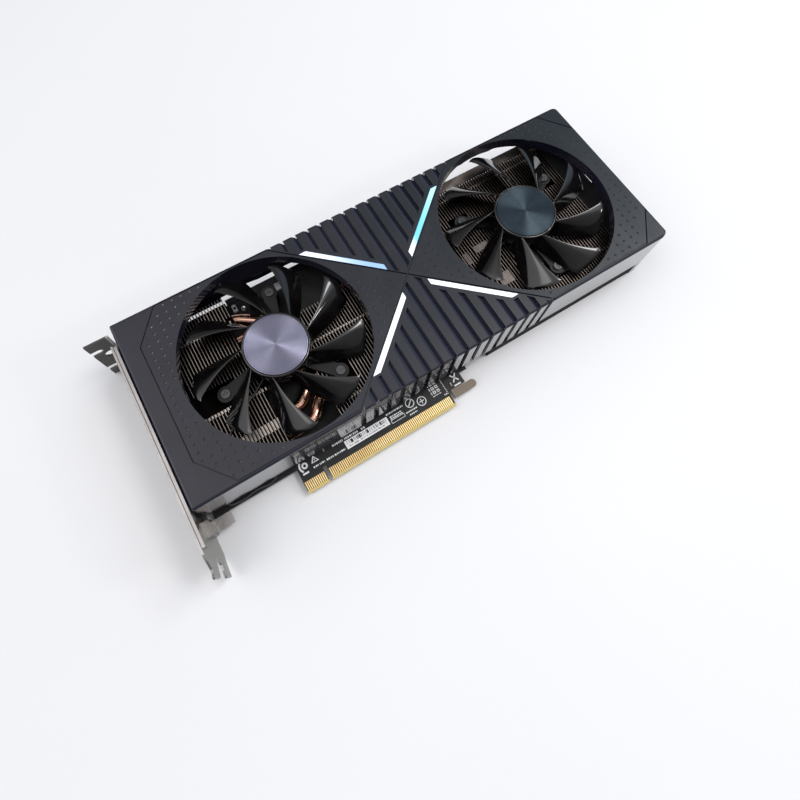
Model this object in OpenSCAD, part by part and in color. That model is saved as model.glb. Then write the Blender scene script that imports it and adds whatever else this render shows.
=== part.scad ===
// Two-fan desktop graphics card, lying on its back with the fans facing up.
// Millimetres. +X runs from the bracket to the tail, +Y away from the edge connector, +Z up.
// Card coordinates start in the middle of the bracket's sheet (x = 0), at the flange's inner face (y = 0)
// and the bracket's lower edge (z = 0). card_frame() moves them to the base centre of the part.

/* [Card] */
// Shroud length from the bracket side to the tail
shroud_l = 267.8; // [264:0.2:272]
// Shroud width across the card
shroud_w = 97.2; // [96.6:0.2:98.2]
// Height of the shroud's top face above the table
shroud_top = 38.3; // [38:0.1:38.6]
// Depth of the facets cut into the ribbed zone
facet_depth = 1.3; // [0.8:0.1:1.5]
// Distance between neighbouring ribs
rib_pitch = 7.1; // [6.9:0.05:7.3]

/* [Fans] */
// Distance between the two fan axes
fan_pitch = 146.8; // [145:0.2:148]
// Radius of each round opening in the shroud
opening_r = 46.4; // [45.6:0.1:46.8]
// Radius of the blade tips
blade_tip_r = 43.8; // [42:0.1:44.4]
// Radius of the rotor hub
hub_r = 16.5; // [16:0.1:17.5]
// Number of blades on each rotor
blade_count = 9; // [7:1:11]
// Shaft radius
shaft_r = 1.5; // [1.2:0.1:1.7]
// Radial clearance between the shaft and its sleeve
shaft_gap = 0.03; // [0.02:0.01:0.08]

/* [Heatsink] */
// Distance between neighbouring fins
fin_pitch = 1.62; // [1.5:0.02:2]
// Fin thickness
fin_t = 0.35; // [0.3:0.05:0.5]
// Outer radius of the heat pipes
pipe_r = 3; // [2.6:0.1:3]

/* [Board] */
// Circuit board thickness
pcb_t = 1.57; // [1.5:0.01:1.6]
// Width of one gold contact
contact_w = 0.6; // [0.5:0.05:0.8]
// Bracket sheet thickness
sheet_t = 1; // [0.8:0.1:1.1]

/* [Hidden] */
$fn = 64;

bracket_y = 120;
bracket_z = 38.7;
flange_x = 11.4;
x0 = 2.4;
x1 = x0 + shroud_l;
y0 = 5.5 - shroud_w;
y1 = 5.5;
centre_x = 140;
centre_y = -42.9;
fan_y = -42.6;
left_x = 140.3 - fan_pitch / 2;
right_x = 140.3 + fan_pitch / 2;
panel_slope = 0.868;
pcb_z = 3.06;
pcb_top = pcb_z + pcb_t;
fin_base_z = 16.4;
fin_top = 24.8;
pipe_z = 13.2;
rotor_top = 37.7;
blade_top = 37.2;
blade_low = 28.2;
left_tip_angle = 69.7;
right_tip_angle = 60.2;
left_arms = [71.7, 191.7, 311.7];
right_arms = [30.6, 150.6, 270.6];
arm_reach = 32;
key_x = 60;
plate_x = -sheet_t / 2;
plate_end = sheet_t / 2;
socket_z = pcb_top + 0.2;

module card_frame() {
    translate([(flange_x - x1) / 2, (bracket_y - y1) / 2, 0]) children();
}

// A box from its low corner to its high corner.
module block(low, high) {
    translate(low) cube(high - low);
}

// A prism along Y from an X-Z outline.
module prism_y(outline, from, to) {
    translate([0, to, 0]) rotate([90, 0, 0]) linear_extrude(to - from) polygon(outline);
}

// A square-sided groove cut between two points, open upwards.
module groove(a, b, width, z, depth) {
    d = b - a;
    translate([a[0], a[1], z - depth])
        rotate([0, 0, atan2(d[1], d[0])])
            translate([0, -width / 2, 0]) cube([norm(d), width, depth + 1]);
}

// ---------- shroud ----------

module rounded_profile(a, b, top, r) {
    union() {
        translate([a, 0]) square([b - a, top - r]);
        translate([a + r, 0]) square([b - a - 2 * r, top]);
        translate([a + r, top - r]) circle(r);
        translate([b - r, top - r]) circle(r);
    }
}

module shroud_footprint() {
    union() {
        translate([x0, y0 + 5]) square([shroud_l, shroud_w - 10]);
        translate([x0 + 5, y0]) square([shroud_l - 10, shroud_w]);
        translate([x0 + 2, y0 + 2]) square([10, 10]);
        translate([x0 + 2, y1 - 12]) square([10, 10]);
        translate([x0 + 2, y0]) square([10, 10]);
        translate([x0 + 2, y1 - 10]) square([10, 10]);
        translate([x0, y0 + 2]) square([10, 10]);
        translate([x0, y1 - 12]) square([10, 10]);
        translate([x0 + 2, y0 + 2]) circle(2);
        translate([x0 + 2, y1 - 2]) circle(2);
        translate([x1 - 5, y0 + 5]) circle(5);
        translate([x1 - 5, y1 - 5]) circle(5);
    }
}

module shroud_outer() {
    intersection() {
        linear_extrude(shroud_top) shroud_footprint();
        translate([0, y1 + 1, 0]) rotate([90, 0, 0])
            linear_extrude(shroud_w + 2) rounded_profile(x0, x1, shroud_top, 1.4);
        translate([x0 - 1, 0, 0]) rotate([90, 0, 90])
            linear_extrude(shroud_l + 2) rounded_profile(y0, y1, shroud_top, 1.4);
    }
}

module facet_zone() {
    linear_extrude(60)
        polygon([
            [0, -1.2], [7.2, -7.4], [7.2, -13.3], [35.9, -38.2], [42.9, -38.2], [57, -52],
            [-57, -52], [-42.9, -38.2], [-35.9, -38.2], [-7.2, -13.3], [-7.2, -7.4]
        ]);
}

module rib_facets() {
    intersection() {
        for (k = [-7:8]) {
            x = centre_x - 2.5 + rib_pitch * k;
            prism_y([
                [x - 3, shroud_top + 1], [x - 3, shroud_top],
                [x - 0.45, shroud_top - facet_depth], [x - 0.45, shroud_top - facet_depth - 0.5],
                [x, shroud_top - facet_depth - 0.5], [x, shroud_top + 1]
            ], y0 - 1, y1 + 1);
        }
        union() {
            translate([centre_x, centre_y, 0]) facet_zone();
            translate([centre_x, centre_y, 0]) mirror([0, 1, 0]) facet_zone();
        }
    }
}

module wall_facets() {
    for (k = [-7:8]) {
        x = centre_x - 2.5 + rib_pitch * k;
        linear_extrude(50) polygon([
            [x - 3, y0 - 1], [x - 3, y0], [x - 0.45, y0 + facet_depth],
            [x - 0.45, y0 + facet_depth + 0.4], [x, y0 + facet_depth + 0.4], [x, y0 - 1]
        ]);
        linear_extrude(50) polygon([
            [x - 3, y1 + 1], [x - 3, y1], [x - 0.45, y1 - facet_depth],
            [x - 0.45, y1 - facet_depth - 0.4], [x, y1 - facet_depth - 0.4], [x, y1 + 1]
        ]);
    }
}

// Outline of one light strip, g inside the slot that holds it.
function strip_outline(g) =
    let (near = 7.2 + g, far = 37 - g, low = 0.7 + g, high = 4.3 - g)
    [
        [near, panel_slope * near + low], [(far - low) / panel_slope, far],
        [(far - high) / panel_slope, far], [near, panel_slope * near + high]
    ];

module four_strips(g, z, h) {
    for (sx = [0, 1], sy = [0, 1])
        translate([centre_x, centre_y, z]) mirror([sx, 0, 0]) mirror([0, sy, 0])
            linear_extrude(h) polygon(strip_outline(g));
}

module panel_grooves() {
    z = shroud_top;
    for (s = [-1, 1]) {
        groove([centre_x, centre_y], [83.8, centre_y + s * 48.8], 0.7, z, 1.1);
        groove([centre_x, centre_y], [196.2, centre_y + s * 48.8], 0.7, z, 1.1);
    }
    groove([11.5, -73.2], [11.5, -12.6], 0.6, z, 1);
    groove([11.5, -73.2], [25, -90.2], 0.6, z, 1);
    groove([11.5, -12.6], [25, 4.4], 0.6, z, 1);
    groove([25, -90.2], [86, -90.2], 0.6, z, 1);
    groove([25, 4.4], [86, 4.4], 0.6, z, 1);
    groove([194, -90.2], [256, -90.2], 0.6, z, 1);
    groove([194, 4.4], [256, 4.4], 0.6, z, 1);
    groove([256, -90.2], [269, -74], 0.6, z, 1);
    groove([256, 4.4], [269, -12], 0.6, z, 1);
}

module wall_cutouts() {
    block([x0 - 1, y0 - 1, -1], [262, y0 + 2.7, 10.8]);
    block([x0 - 1, y1 - 2.7, -1], [54.5, y1 + 1, 13]);
    block([54.5, y1 - 2.7, -1], [178, y1 + 1, 17.2]);
    block([178, y1 - 2.7, -1], [252, y1 + 1, 30.5]);
    block([252, y1 - 2.7, -1], [262, y1 + 1, 10.8]);
    block([x1 - 2.1, y0 + 7, -1], [x1 + 1, y1 - 7, 10.8]);
    block([x0 - 1, y0 - 1, -1], [x0 + 2.1, y1 + 1, 13]);
    block([x0 - 1, y0 + 8, -1], [x0 + 2.1, y1 - 8, 33.5]);
    for (y = [-76:12:-10])
        block([x1 - 3, y, 15], [x1 + 1, y + 8, 31]);
}

module shroud() {
    color("#2b2d33") card_frame() union() {
        difference() {
            shroud_outer();
            block([x0 + 2, y0 + 2.6, -1], [x1 - 2, y1 - 2.6, shroud_top - 2.4]);
            for (x = [left_x, right_x])
                translate([x, fan_y, 10]) cylinder(h = 40, r = opening_r);
            rib_facets();
            wall_facets();
            four_strips(0, shroud_top - 3, 5);
            panel_grooves();
            wall_cutouts();
        }
        for (x = [left_x, right_x])
            intersection() {
                translate([x, fan_y, 32]) difference() {
                    cylinder(h = 4.2, r = opening_r + 1.5);
                    translate([0, 0, -1]) cylinder(h = 8, r = opening_r);
                }
                block([x0 + 1, y0 + 1.7, 30], [x1 - 1, y1 - 1.7, 40]);
            }
        for (x = [9.5, 264.2], y = [-86.2, -3])
            translate([x, y, 0]) difference() {
                translate([0, 0, pcb_top + 0.1]) cylinder(h = 31.5, r = 2.2);
                cylinder(h = 15, r = 1);
            }
    }
}

module light_strips() {
    color("#e8f2fa") card_frame() four_strips(0.15, shroud_top - 2.3, 2.1);
}

module led_boards() {
    color("#1d3a2a") card_frame() difference() {
        four_strips(-0.6, shroud_top - 3.3, 0.8);
        for (x = [left_x, right_x])
            translate([x, fan_y, 30]) cylinder(h = 10, r = opening_r + 1.9);
    }
}

module shroud_screws() {
    color("#26272a") card_frame() for (x = [9.5, 264.2], y = [-86.2, -3])
        translate([x, y, 0]) {
            translate([0, 0, pcb_z - 1.3]) cylinder(h = 1.25, r = 2.1);
            translate([0, 0, pcb_z - 0.06]) cylinder(h = 9, r = 0.95);
        }
}

// ---------- fans ----------

// One point of a blade: s runs from root to tip, u from the leading to the trailing edge.
function blade_point(s, u, side) =
    let (
        r = hub_r - 0.3 + (blade_tip_r - hub_r + 0.3) * s,
        lead = -33 + 33 * pow(s, 0.62),
        chord = 15 + 6 * s,
        a = lead - chord * u,
        drop = pow(u, 1.5) * (blade_top - blade_low - 1.4 * s),
        t = (1.5 - 0.5 * s) * (0.3 + 0.7 * sin(180 * u))
    )
    [r * cos(a), r * sin(a), blade_top - 0.8 * s - drop + side * t / 2];

module blade() {
    m = 6;
    n = 6;
    w = n + 1;
    points = concat(
        [for (i = [0:m], j = [0:n]) blade_point(i / m, j / n, 1)],
        [for (i = [0:m], j = [0:n]) blade_point(i / m, j / n, -1)]
    );
    off = (m + 1) * w;
    top = [for (i = [0:m - 1], j = [0:n - 1]) each [
        [i * w + j, (i + 1) * w + j, i * w + j + 1],
        [i * w + j + 1, (i + 1) * w + j, (i + 1) * w + j + 1]
    ]];
    bottom = [for (f = top) [f[2] + off, f[1] + off, f[0] + off]];
    lead_side = [for (i = [0:m - 1]) each [
        [i * w, i * w + off, (i + 1) * w], [(i + 1) * w, i * w + off, (i + 1) * w + off]
    ]];
    trail_side = [for (i = [0:m - 1]) each [
        [i * w + n, (i + 1) * w + n, i * w + n + off],
        [(i + 1) * w + n, (i + 1) * w + n + off, i * w + n + off]
    ]];
    root_side = [for (j = [0:n - 1]) each [[j, j + 1, j + off], [j + 1, j + 1 + off, j + off]]];
    tip_side = [for (j = [0:n - 1]) let (p = m * w + j) each [
        [p, p + off, p + 1], [p + 1, p + off, p + 1 + off]
    ]];
    polyhedron(points, concat(top, bottom, lead_side, trail_side, root_side, tip_side));
}

module rotor(x, tip_angle) {
    card_frame() translate([x, fan_y, 0]) {
        difference() {
            union() {
                translate([0, 0, 28.4]) cylinder(h = rotor_top - 1.2 - 28.4, r = hub_r);
                translate([0, 0, 30]) cylinder(h = rotor_top - 30, r = hub_r - 1.2);
                translate([0, 0, rotor_top - 1.2]) rotate_extrude() translate([hub_r - 1.2, 0]) circle(1.2);
            }
            translate([0, 0, 27]) cylinder(h = 9.3, r = hub_r - 1.1);
            translate([0, 0, 27]) cylinder(h = 20, r = shaft_r);
            translate([0, 0, rotor_top - 0.5]) cylinder(h = 2, r = hub_r - 1.15);
        }
        for (k = [0:blade_count - 1])
            rotate([0, 0, tip_angle + k * 360 / blade_count]) blade();
    }
}

module cap(x) {
    card_frame() translate([x, fan_y, rotor_top - 0.49]) cylinder(h = 0.7, r = hub_r - 1.3);
}

module shaft(x) {
    card_frame() translate([x, fan_y, 26.8]) cylinder(h = 10.3, r = shaft_r);
}

module magnet(x) {
    card_frame() translate([x, fan_y, 28.9]) difference() {
        cylinder(h = 7.3, r = hub_r - 1.15);
        translate([0, 0, -1]) cylinder(h = 10, r = hub_r - 3.4);
    }
}

module fan_frame(x, arms) {
    card_frame() translate([x, fan_y, 0]) difference() {
        union() {
            translate([0, 0, 25]) cylinder(h = 1.5, r = 16);
            translate([0, 0, 25]) cylinder(h = 8.4, r = 4.3);
            for (a = arms) rotate([0, 0, a]) {
                block([5, -3.2, 25], [arm_reach, 3.2, 26.9]);
                translate([arm_reach, 0, 17.5]) cylinder(h = 9.6, r = 4);
            }
        }
        translate([0, 0, 26]) cylinder(h = 10, r = 3.3);
        for (a = arms) rotate([0, 0, a])
            translate([arm_reach, 0, 17]) cylinder(h = 12, r = 1.3);
    }
}

module stator(x) {
    card_frame() translate([x, fan_y, 28.6]) difference() {
        cylinder(h = 4.6, r = 11.6);
        translate([0, 0, -1]) cylinder(h = 7, r = 4.35);
        for (a = [0:60:300]) rotate([0, 0, a]) {
            translate([7.6, 0, -1]) cylinder(h = 7, r = 1.9);
            block([7.6, -0.6, -1], [13, 0.6, 6]);
        }
    }
}

module motor_board(x) {
    card_frame() translate([x, fan_y, 27.2]) difference() {
        union() {
            cylinder(h = 0.8, r = 12.6);
            translate([0, 0, 0.8]) block([5, -1.4, 0], [8, 1.4, 0.3]);
        }
        translate([0, 0, -1]) cylinder(h = 4, r = 4.4);
    }
}

module sleeve(x) {
    card_frame() translate([x, fan_y, 26.1]) difference() {
        cylinder(h = 7, r = 3.25);
        translate([0, 0, -1]) cylinder(h = 9, r = shaft_r + shaft_gap);
    }
}

module left_rotor() {
    color("#1a1c1f") rotor(left_x, left_tip_angle);
}

module right_rotor() {
    color("#1a1c1f") rotor(right_x, right_tip_angle);
}

module left_cap() {
    color("#8a8ca8") cap(left_x);
}

module right_cap() {
    color("#4a5566") cap(right_x);
}

module left_shaft() {
    color("#c9ccd1") shaft(left_x);
}

module right_shaft() {
    color("#c9ccd1") shaft(right_x);
}

module left_magnet() {
    color("#3b3a38") magnet(left_x);
}

module right_magnet() {
    color("#3b3a38") magnet(right_x);
}

module left_fan_frame() {
    color("#17181a") fan_frame(left_x, left_arms);
}

module right_fan_frame() {
    color("#17181a") fan_frame(right_x, right_arms);
}

module left_stator() {
    color("#9c5a2c") stator(left_x);
}

module right_stator() {
    color("#9c5a2c") stator(right_x);
}

module left_motor_board() {
    color("#1f3d2b") motor_board(left_x);
}

module right_motor_board() {
    color("#1f3d2b") motor_board(right_x);
}

module left_sleeve() {
    color("#a8844a") sleeve(left_x);
}

module right_sleeve() {
    color("#a8844a") sleeve(right_x);
}

// Where the screw of each arm of each fan stands.
module at_arm_ends() {
    for (a = left_arms)
        translate([left_x + arm_reach * cos(a), fan_y + arm_reach * sin(a), 0]) children();
    for (a = right_arms)
        translate([right_x + arm_reach * cos(a), fan_y + arm_reach * sin(a), 0]) children();
}

module fan_screws() {
    color("#9a9ca0") card_frame() at_arm_ends() difference() {
        union() {
            translate([0, 0, 27.15]) cylinder(h = 0.85, r = 2.2);
            translate([0, 0, 18]) cylinder(h = 9.5, r = 1.2);
        }
        block([-1.3, -0.25, 27.6], [1.3, 0.25, 29]);
        block([-0.25, -1.3, 27.6], [0.25, 1.3, 29]);
    }
}

// A round tube along a smooth path through a few points.
function smooth(p, i, t) =
    let (
        a = p[max(i - 1, 0)],
        b = p[i],
        c = p[i + 1],
        d = p[min(i + 2, len(p) - 1)]
    )
    0.5 * (2 * b + (c - a) * t + (2 * a - 5 * b + 4 * c - d) * t * t
        + (3 * b - a - 3 * c + d) * t * t * t);

module lead(path, r, steps, sides) {
    line = concat(
        [for (i = [0:len(path) - 2], k = [0:steps - 1]) smooth(path, i, k / steps)],
        [path[len(path) - 1]]
    );
    n = len(line);
    function along(i) = line[min(i + 1, n - 1)] - line[max(i - 1, 0)];
    function side_of(i) = let (d = cross(along(i), [0.31, 0.17, 0.93])) d / norm(d);
    function up_of(i) = let (d = cross(side_of(i), along(i))) d / norm(d);
    points = [for (i = [0:n - 1], j = [0:sides - 1])
        let (a = j * 360 / sides)
        line[i] + r * cos(a) * side_of(i) + r * sin(a) * up_of(i)];
    walls = [for (i = [0:n - 2], j = [0:sides - 1])
        let (a = i * sides + j, b = i * sides + (j + 1) % sides)
        each [[a, b, a + sides], [b, b + sides, a + sides]]];
    start = [[for (j = [sides - 1:-1:0]) j]];
    end = [[for (j = [0:sides - 1]) (n - 1) * sides + j]];
    polyhedron(points, concat(walls, start, end));
}

left_lead_path = [
    [56, -50, 27.45], [53.6, -51.7, 27.2], [46, -56, 25.9], [38, -60, 25.9], [28, -68, 25.9],
    [20, -76, 25.3], [17, -82, 19], [14, -87, 11], [13, -91.6, 7.4], [20, -92.7, 6.8],
    [27, -92, 7.4], [34, -92.6, 6.8], [38.5, -90.5, 8.4], [36, -86, 10], [34, -84, 7]
];
right_lead_path = [
    [201.5, -47.4, 27.45], [198.8, -48.4, 27.2], [190, -51, 25.9], [178, -56, 25.9], [166, -64, 25.9],
    [154, -72, 25.9], [148, -77, 24.6], [146.6, -80, 16], [147, -84, 10.8], [150, -85, 10],
    [150, -84, 7]
];

module left_fan_lead() {
    color("#101113") card_frame() lead(left_lead_path, 0.5, 5, 8);
}

module right_fan_lead() {
    color("#101113") card_frame() lead(right_lead_path, 0.5, 5, 8);
}

// ---------- heatsink ----------

// A row of upright fins on a base, from one X to another.
module fin_row(xa, xb, ya, yb) {
    block([xa, ya, fin_base_z], [xb, yb, fin_base_z + 1]);
    count = floor((xb - xa - fin_t) / fin_pitch);
    for (k = [0:count])
        translate([xa + k * fin_pitch, ya, fin_base_z]) cube([fin_t, yb - ya, fin_top - fin_base_z]);
}

module front_fins() {
    color("#8d8f92") card_frame() difference() {
        fin_row(21.5, 55, -86, -1.2);
        block([19, -54.6, fin_base_z + 1], [42.4, -42.4, 30]);
        block([51.9, -90, 16], [56, -13, 30]);
    }
}

module middle_fins() {
    color("#8d8f92") card_frame() difference() {
        fin_row(78, 134, -86, -28);
        block([83, -72, fin_base_z + 1], [93.5, -61, 30]);
    }
}

module tail_fins() {
    color("#8d8f92") card_frame() difference() {
        fin_row(150, 252.5, -86, -4.4);
        for (a = right_arms)
            translate([right_x + arm_reach * cos(a), fan_y + arm_reach * sin(a), fin_base_z + 1])
                block([-5.2, -5.2, 0], [5.2, 5.2, 20]);
    }
}

// One pipe along X with a rounded, closed end towards the bracket.
module straight_pipe(xa, xb, y) {
    translate([xa, y, pipe_z]) rotate([0, 90, 0]) cylinder(h = xb - xa, r = pipe_r);
    translate([xa, y, pipe_z]) sphere(pipe_r - 0.005, $fn = 32);
}

// Points of a double bend between two straight runs.
function double_bend(xa, ya, xb, yb) = [
    for (i = [0:12]) let (t = i / 12) [
        xa + (xb - xa) * t, ya + (yb - ya) * (3 * t * t - 2 * t * t * t), pipe_z
    ]
];

// One pipe that steps sideways from its run over the cold plate to its run under the front fins.
module bent_pipe(xb, y_plate, y_front, end) {
    path = concat(
        [[end, y_plate, pipe_z]],
        double_bend(77.5, y_plate, xb, y_front),
        [[24, y_front, pipe_z]]
    );
    lead(path, pipe_r, 1, 24);
    translate([24, y_front, pipe_z]) sphere(pipe_r - 0.05, $fn = 32);
}

module heat_pipes() {
    color("#b8703c") card_frame() union() {
        bent_pipe(64, -68, -78, 256);
        bent_pipe(62, -58, -68, 256);
        straight_pipe(70, 250, -48);
        bent_pipe(58, -34, -22, 250);
        bent_pipe(52, -22, -10, 256);
        straight_pipe(78, 256, -12);
    }
}

module cold_plate() {
    color("#c27a48") card_frame() difference() {
        block([80, -72, pcb_top + 2.3], [132, -18, 12]);
        for (y = [-68, -58, -48, -34, -22])
            translate([70, y, pipe_z]) rotate([0, 90, 0]) cylinder(h = 70, r = pipe_r + 0.02);
    }
}

module base_plate() {
    color("#1b1c1e") card_frame() difference() {
        union() {
            block([22, -86, 7.2], [158, 1.5, 8.6]);
            block([69, -26.5, 16.3], [112, 0.3, 17.4]);
            block([55.5, -3.2, 16.3], [70, 0.3, 17.4]);
            for (p = [[26, -10], [26, -80], [60, -84], [74, -3], [136, -84], [99.3, -3]])
                translate([p[0], p[1], 5]) cylinder(h = 2.4, r = 2.6);
            block([66, -7.5, 8], [72, -6, 17]);
            block([104, -7.5, 8], [110, -6, 17]);
        }
        block([79.5, -72.5, 0], [132.5, -17.5, 12]);
        block([136, -80, 0], [152, -6, 12]);
        block([28, -88, 0], [40, -80, 12]);
        block([141, -88, 0], [158, -79, 12]);
        block([138.5, -9, 0], [157.5, 3, 12]);
    }
}

module side_rail() {
    color("#4a3f38") card_frame() union() {
        block([176, -4, 22.6], [262, 1.2, 23.8]);
        block([176, 0.2, 8.2], [180, 1.2, 22.6]);
        block([258, 0.2, 8.2], [262, 1.2, 22.6]);
    }
}

module thermal_pads() {
    color("#8fa3b5") card_frame() for (p = [
        [66, -66], [66, -48], [66, -30], [84, -86], [104, -86], [84, -14], [104, -14], [120, -14]
    ]) {
        translate([p[0], p[1], pcb_top + 1.11]) cube([11, 11, 1.4]);
    }
}

// ---------- board ----------

module pcb() {
    color("#141816") card_frame() difference() {
        union() {
            block([4, -89, pcb_z], [161.5, 3, pcb_top]);
            block([4.6, -98.6, pcb_z], [11.4, -88, pcb_top]);
            block([47.6, -106, pcb_z], [key_x - 0.95, -88, pcb_top]);
            block([4, -93.2, pcb_z], [48.5, -88, pcb_top]);
            block([key_x - 1, -98, pcb_z], [key_x + 1, -88, pcb_top]);
            block([key_x + 0.95, -106, pcb_z], [133, -88, pcb_top]);
            block([132.6, -97.8, pcb_z], [143.5, -88, pcb_top]);
            block([134.6, -102.6, pcb_z], [146.4, -98.3, pcb_top]);
            block([134.6, -99, pcb_z], [141, -97, pcb_top]);
            block([143, -92.4, pcb_z], [148.2, -88, pcb_top]);
            translate([146.4, -100.45, pcb_z]) cylinder(h = pcb_t, r = 2.15);
        }
        for (s = [-1, 1])
            translate([40, -106, pcb_z + pcb_t / 2 + s * (pcb_t / 2 - 0.45)]) rotate([s * 20, 0, 0])
                translate([0, -2, s > 0 ? 0 : -2]) cube([110, 4, 2]);
        for (y = [-86.2, -3])
            translate([9.5, y, 0]) cylinder(h = 10, r = 1.1);
        for (x = [78, 134], y = [-77, -13])
            translate([x, y, 0]) cylinder(h = 10, r = 1.6);
    }
}

module edge_contacts() {
    color("#e6c36a") card_frame() for (k = [0:81]) {
        x = k < 11 ? key_x - 1.65 - k : key_x + 1.65 + (k - 11);
        block([x - contact_w / 2, -104.7, pcb_top], [x + contact_w / 2, -100.3, pcb_top + 0.04]);
        block([x - contact_w / 2, -104.7, pcb_z - 0.04], [x + contact_w / 2, -100.3, pcb_z]);
    }
}

module barcode_label() {
    color("#f2f2ee") card_frame() block([74, -97.2, pcb_top], [98.6, -92.9, pcb_top + 0.08]);
}

module gpu_package() {
    color("#1f3b2c") card_frame() block([85, -66, pcb_top + 0.1], [125, -26, pcb_top + 1.5]);
}

module gpu_die() {
    color("#5d6670") card_frame() block([93, -57, pcb_top + 1.51], [117, -35, pcb_top + 2.28]);
}

module memory_chips() {
    color("#17181a") card_frame() for (p = [
        [65, -67], [65, -49], [65, -31], [83, -87], [103, -87], [83, -14.5], [103, -14.5],
        [119.5, -14.5]
    ]) {
        translate([p[0], p[1], pcb_top + 0.1]) cube([12.5, 12, 1]);
    }
}

module chokes() {
    color("#6d6f72") card_frame() for (y = [-76:9:-20])
        block([144, y, pcb_top], [150.5, y + 6.5, pcb_top + 5]);
}

module mosfets() {
    color("#1c1d1f") card_frame() for (y = [-76:9:-20])
        block([137, y + 0.5, pcb_top], [142, y + 6, pcb_top + 0.9]);
}

module capacitors() {
    color("#b9bcc0") card_frame() for (y = [-76:9:-20])
        translate([155.4, y + 3.2, pcb_top]) cylinder(h = 2.4, r = 2.4);
}

module power_connector() {
    color("#0f1012") card_frame() difference() {
        block([139, -8.5, pcb_top], [157, 4.6, pcb_top + 9.4]);
        for (k = [0:3], j = [0, 1])
            block([139.9 + 4.2 * k, -5, pcb_top + 0.8 + 4.2 * j],
                [143.4 + 4.2 * k, 5, pcb_top + 4.3 + 4.2 * j]);
    }
}

module fan_headers() {
    color("#e7e3d6") card_frame() for (x = [34, 150]) difference() {
        block([x - 4, -86.6, pcb_top], [x + 4, -81.4, pcb_top + 4.4]);
        block([x - 3.2, -85.8, pcb_top + 1], [x + 3.2, -82.2, pcb_top + 6]);
    }
}

// ---------- bracket and sockets ----------

module display_socket(y, w, h) {
    card_frame() union() {
        difference() {
            block([plate_end + 0.05, y - w / 2 - 1, socket_z], [17, y + w / 2 + 1, socket_z + h + 1.6]);
            block([0, y - w / 2, socket_z + 0.8], [13, y + w / 2, socket_z + 0.8 + h]);
        }
        block([2, y - w / 2 + 2.2, socket_z + 0.8 + h * 0.42],
            [14, y + w / 2 - 2.2, socket_z + 0.8 + h * 0.62]);
    }
}

module hdmi_socket() {
    color("#8c8f93") display_socket(-17, 14.2, 4.6);
}

module display_socket_a() {
    color("#8c8f93") display_socket(-36, 16.2, 4.8);
}

module display_socket_b() {
    color("#8c8f93") display_socket(-55, 16.2, 4.8);
}

module display_socket_c() {
    color("#8c8f93") display_socket(-74, 16.2, 4.8);
}

module bracket() {
    color("#b9bab8") card_frame() union() {
        difference() {
            bracket_sheet();
            for (y = [-17, -36, -55, -74])
                block([-2, y - 8.5, socket_z + 0.4], [2, y + 8.5, socket_z + 6]);
            for (k = [0:15], j = [0:2])
                block([-2, -88.6 + 5.3 * k, 13.4 + 6 * j], [2, -85.6 + 5.3 * k, 18 + 6 * j]);
            block([-2, -5.5, 29], [2, -0.05, bracket_z + 1]);
        }
        difference() {
            block([-flange_x, 0, 0], [plate_end, 1, bracket_z]);
            for (z = [8.5, 28.8]) {
                block([-flange_x - 1, -1, z - 2.2], [-flange_x + 3.4, 2, z + 2.2]);
                translate([-flange_x + 3.4, 2, z]) rotate([90, 0, 0]) cylinder(h = 3, r = 2.2);
            }
            translate([-4.2, 2, 22.9]) rotate([90, 0, 0]) cylinder(h = 3, r = 2.9);
        }
        difference() {
            block([plate_end - 0.05, -107, 33], [2.05, -6, 38.3]);
            block([plate_end + 0.05, -110, 37.7], [plate_end + 0.25, -3, 39]);
        }
        block([plate_end - 0.1, -99.6, 5.2], [12, -93.8, 6.2]);
        block([plate_end - 0.1, -101, 5.2], [3.3, -93.8, 16]);
    }
}

// The bracket's upright sheet with its two slot tongues.
module bracket_sheet() {
    translate([plate_x, 0, 0]) rotate([90, 0, 90]) linear_extrude(sheet_t) polygon([
        [1, 0], [1, bracket_z], [-109.5, bracket_z], [-112, 37.8], [-115.8, 35.5],
        [-117.5, 35.9], [-119.4, 38], [-120, 37.4], [-120, 28], [-119.6, 27.2],
        [-115.1, 23.4], [-111.2, 20.6], [-110.6, 19.9], [-111, 18.6], [-113.9, 14],
        [-116.5, 14.3], [-119.4, 15.3], [-120, 14.7], [-120, 5.7], [-119.4, 4.9],
        [-116.7, 4.1], [-113.2, 2.6], [-108.5, 0]
    ]);
}

module bracket_screws() {
    color("#3a3b3d") card_frame() for (y = [-26.5, -45.5, -64.5])
        translate([plate_x - 0.9, y, socket_z + 3]) rotate([0, 90, 0]) cylinder(h = 0.88, r = 1.5);
}

module retention_bracket() {
    color("#6f7276") card_frame() difference() {
        union() {
            for (s = [-1, 1])
                translate([106, -45, 1.3]) rotate([0, 0, s * 48.8]) block([-44, -4, 0], [44, 4, 1]);
            translate([106, -45, 1.3]) cylinder(h = 1, r = 13);
        }
        for (x = [78, 134], y = [-77, -13])
            translate([x, y, 0]) cylinder(h = 10, r = 1.6);
    }
}

module spring_screws() {
    color("#b3b5b8") card_frame() for (x = [78, 134], y = [-77, -13])
        translate([x, y, 0]) {
            translate([0, 0, 0.4]) cylinder(h = 0.85, r = 2.8);
            translate([0, 0, 1]) cylinder(h = 6.1, r = 1.4);
        }
}

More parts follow.
